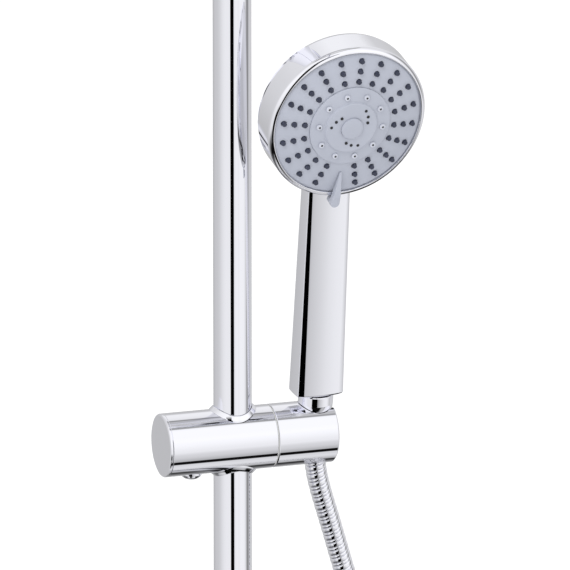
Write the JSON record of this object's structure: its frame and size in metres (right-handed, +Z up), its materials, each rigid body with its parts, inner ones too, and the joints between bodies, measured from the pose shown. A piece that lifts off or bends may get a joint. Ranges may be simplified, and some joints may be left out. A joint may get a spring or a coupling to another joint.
{
  "type": "rainfall shower column",
  "caption": "Wall-fed chrome shower rail with a swinging overhead rain head, a sliding and tilting holder, a multi-spray handset and a metal hose.",
  "frame": {"origin": "centre of the water inlet where it meets the wall's face", "axes": "+X to the right, +Y into the wall along the inlet, +Z up along the rail; the room is on -Y"},
  "size_m": [0.286, 0.53, 1.6788],
  "materials": {
    "chrome": "polished",
    "plated_plastic": "gloss",
    "steel": "satin",
    "brass": "satin",
    "face_plastic": "satin",
    "nozzle_rubber": "matte",
    "nylon": "satin",
    "seal_rubber": "matte",
    "ceramic_white": "satin"
  },
  "bodies": {
    "column": {"riser_tube": "chrome", "riser_nut": "chrome", "riser_o_ring": "seal_rubber", "diverter_body": "chrome", "inlet_tail": "brass", "inlet_washer": "seal_rubber", "lower_rosette": "chrome", "cartridge_housing": "nylon", "ceramic_disc_fixed": "ceramic_white", "outlet_nipple": "brass", "lower_hose_nut": "chrome", "lower_hose_washer": "seal_rubber", "lower_hose_ferrule": "chrome", "upper_wall_plate": "steel", "upper_rosette": "chrome", "upper_post": "chrome", "upper_collar": "chrome", "bracket_grub_screws": "steel", "top_socket": "chrome", "hose": "chrome"},
    "arm": {"gooseneck_arm": "chrome", "arm_o_rings": "seal_rubber", "ball_stud": "chrome"},
    "ball_socket": {"socket_nut": "chrome", "socket_base": "steel", "ball_seal": "seal_rubber", "neck_ring": "brass"},
    "rain_head": {"rain_cover": "chrome", "rain_face": "chrome", "rain_nozzles": "nozzle_rubber"},
    "knob": {"ceramic_disc_moving": "ceramic_white", "cartridge_spindle": "brass", "diverter_knob": "chrome", "knob_screw": "steel", "knob_cap": "plated_plastic"},
    "slider_bush": {"rail_liner": "nylon"},
    "slider": {"slider_shell": "chrome", "slider_end_cap": "chrome", "collar_top": "chrome", "collar_bottom": "chrome", "tilt_screw": "steel", "tilt_washer": "steel", "friction_disc": "nylon", "brake_spring": "steel"},
    "brake": {"brake_shoe": "nylon"},
    "button": {"release_button": "chrome", "button_spring": "steel"},
    "holder": {"holder_cup": "chrome"},
    "hose_end": {"cone_nut": "chrome", "upper_hose_washer": "seal_rubber", "upper_hose_ferrule": "steel"},
    "handset": {"handle_shell": "plated_plastic", "handle_waterway": "nylon", "head_shell": "plated_plastic", "rim_ring": "plated_plastic", "spray_valve": "nylon"},
    "spray_face": {"face_plate": "face_plastic", "nozzle_mat": "nozzle_rubber", "spray_hub": "face_plastic", "centre_cap": "face_plastic"}
  },
  "joints": [
    {"name": "slider_slide", "type": "slide", "parent": "column", "child": "slider_bush", "axis": [0, 0, 1], "range_m": [-0.3, 0.2], "deforming": ["hose"]},
    {"name": "slider_swivel", "type": "hinge", "parent": "slider_bush", "child": "slider", "pos_m": [0, -0.065, 0.7], "axis": [0, 0, 1], "range_deg": [-35, 20]},
    {"name": "holder_tilt", "type": "hinge", "parent": "slider", "child": "holder", "pos_m": [0.0253, -0.065, 0.7], "axis": [1, 0, 0], "range_deg": [-3, 26]},
    {"name": "handset_lift", "type": "slide", "parent": "holder", "child": "hose_end", "axis": [0, -0.1305, 0.9914], "range_m": [0, 0.03]},
    {"name": "handset_turn", "type": "hinge", "parent": "hose_end", "child": "handset", "pos_m": [0.0562, -0.065, 0.7], "axis": [0, -0.1305, 0.9914], "range_deg": [-10, 110]},
    {"name": "spray_select", "type": "hinge", "parent": "handset", "child": "spray_face", "pos_m": [0.05777, -0.12428, 0.92075], "axis": [0.0517, -0.959, -0.2788], "range_deg": [-40, 40]},
    {"name": "release_button", "type": "slide", "parent": "slider", "child": "button", "axis": [0, 0, 1], "range_m": [0, 0.0025], "stiffness_N_per_m": 800, "springref_m": -0.001, "deforming": ["button_spring"]},
    {"name": "brake_release", "type": "slide", "parent": "slider", "child": "brake", "axis": [-1, 0, 0], "range_m": [0, 0.001], "deforming": ["brake_spring"]},
    {"name": "diverter_turn", "type": "hinge", "parent": "column", "child": "knob", "pos_m": [0, -0.065, 0], "axis": [0, -1, 0], "range_deg": [-90, 90]},
    {"name": "arm_swivel", "type": "hinge", "parent": "column", "child": "arm", "pos_m": [0, -0.065, 1.1], "axis": [0, 0, 1], "range_deg": [-45, 45]},
    {"name": "rain_tilt", "type": "hinge", "parent": "arm", "child": "ball_socket", "pos_m": [0, -0.415, 1.158], "axis": [1, 0, 0], "range_deg": [-20, 20]},
    {"name": "rain_spin", "type": "hinge", "parent": "ball_socket", "child": "rain_head", "pos_m": [0, -0.415, 1.158], "axis": [0, 0, 1], "continuous": true}
  ],
  "couplings": [
    {"joint": "brake_release", "follows": "release_button", "ratio": 0.4}
  ]
}
